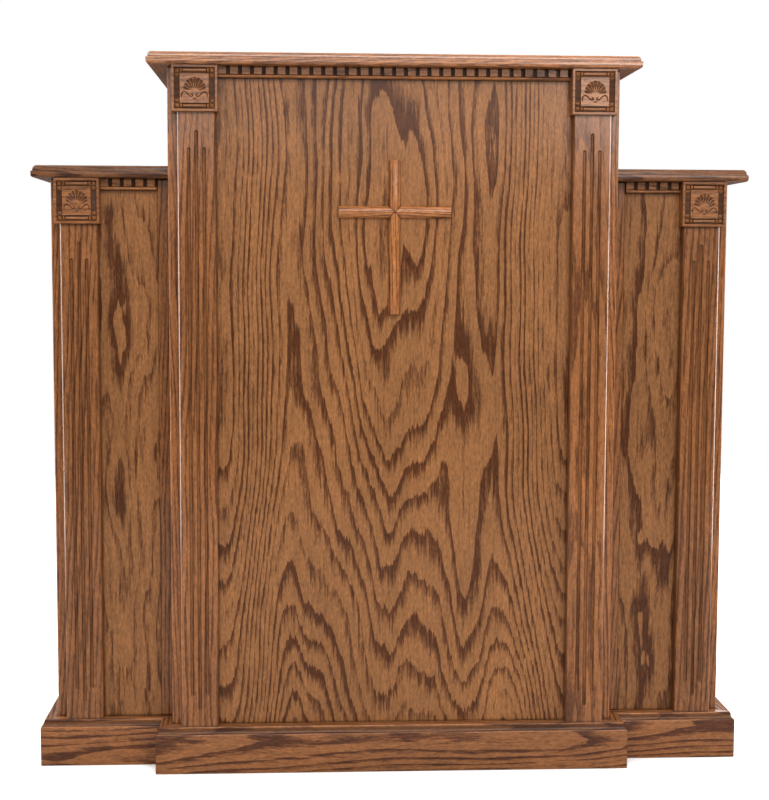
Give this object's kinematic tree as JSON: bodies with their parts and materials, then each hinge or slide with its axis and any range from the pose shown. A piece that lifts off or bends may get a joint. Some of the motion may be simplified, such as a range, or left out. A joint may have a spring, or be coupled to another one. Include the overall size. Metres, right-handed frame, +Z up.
{
  "type": "winged church pulpit",
  "caption": "Floor-standing oak pulpit: tall centre cabinet with a recessed sloping desk, lower open-backed wings, fluted pilasters, carved shell blocks, dentils and a cross.",
  "frame": {"origin": "on the floor, under the centre of the whole pulpit's bounding box", "axes": "+Z up, +Y towards the speaker's side (the open back), +X to the right as seen by the congregation, who look along +Y at the cross"},
  "size_m": [1.224, 0.6093, 1.2192],
  "materials": {
    "panel_oak": "plain-sawn red oak veneer, medium brown stain, satin lacquer",
    "solid_oak": "solid red oak, medium brown stain, satin lacquer",
    "top_oak": "solid red oak, darker on its moulded edges, satin lacquer",
    "base_oak": "solid red oak with long horizontal grain, satin lacquer",
    "carved_oak": "carved red oak, dark stain held in the cuts, satin lacquer",
    "inside_oak": "oak veneered plywood, lighter lacquer than outside",
    "bolt_steel": "zinc-plated steel connector bolt"
  },
  "bodies": {
    "root": {"centre_front_panel": "panel_oak", "centre_left_corner_stile": "solid_oak", "centre_right_corner_stile": "solid_oak", "centre_left_side_panel": "panel_oak", "centre_right_side_panel": "panel_oak", "centre_left_pilaster": "solid_oak", "centre_right_pilaster": "solid_oak", "centre_left_shell_block": "carved_oak", "centre_right_shell_block": "carved_oak", "centre_dentil": "solid_oak", "upper_shelf": "inside_oak", "lower_shelf": "inside_oak", "floor_board": "inside_oak", "toe_rail": "solid_oak", "top_front_rail": "top_oak", "top_left_rail": "top_oak", "top_right_rail": "top_oak", "reading_desk": "panel_oak", "book_stop": "solid_oak", "desk_left_cleat": "inside_oak", "desk_right_cleat": "inside_oak", "cross_upper_arm": "solid_oak", "cross_lower_arm": "solid_oak", "cross_left_arm": "solid_oak", "cross_right_arm": "solid_oak", "centre_base_front": "base_oak", "centre_base_left_return": "base_oak", "centre_base_right_return": "base_oak", "left_wing_front_panel": "panel_oak", "left_wing_inner_stile": "solid_oak", "left_wing_corner_stile": "solid_oak", "left_wing_outer_panel": "panel_oak", "left_wing_inner_panel": "inside_oak", "left_wing_top": "top_oak", "left_wing_pilaster": "solid_oak", "left_wing_shell_block": "carved_oak", "left_wing_dentil": "solid_oak", "left_wing_shelf": "inside_oak", "left_wing_floor_board": "inside_oak", "left_wing_toe_rail": "solid_oak", "left_wing_base_front": "base_oak", "left_wing_base_side": "base_oak", "right_wing_front_panel": "panel_oak", "right_wing_inner_stile": "solid_oak", "right_wing_corner_stile": "solid_oak", "right_wing_outer_panel": "panel_oak", "right_wing_inner_panel": "inside_oak", "right_wing_top": "top_oak", "right_wing_pilaster": "solid_oak", "right_wing_shell_block": "carved_oak", "right_wing_dentil": "solid_oak", "right_wing_shelf": "inside_oak", "right_wing_floor_board": "inside_oak", "right_wing_toe_rail": "solid_oak", "right_wing_base_front": "base_oak", "right_wing_base_side": "base_oak", "left_front_connector_bolt": "bolt_steel", "left_rear_connector_bolt": "bolt_steel", "right_front_connector_bolt": "bolt_steel", "right_rear_connector_bolt": "bolt_steel"}
  },
  "joints": []
}
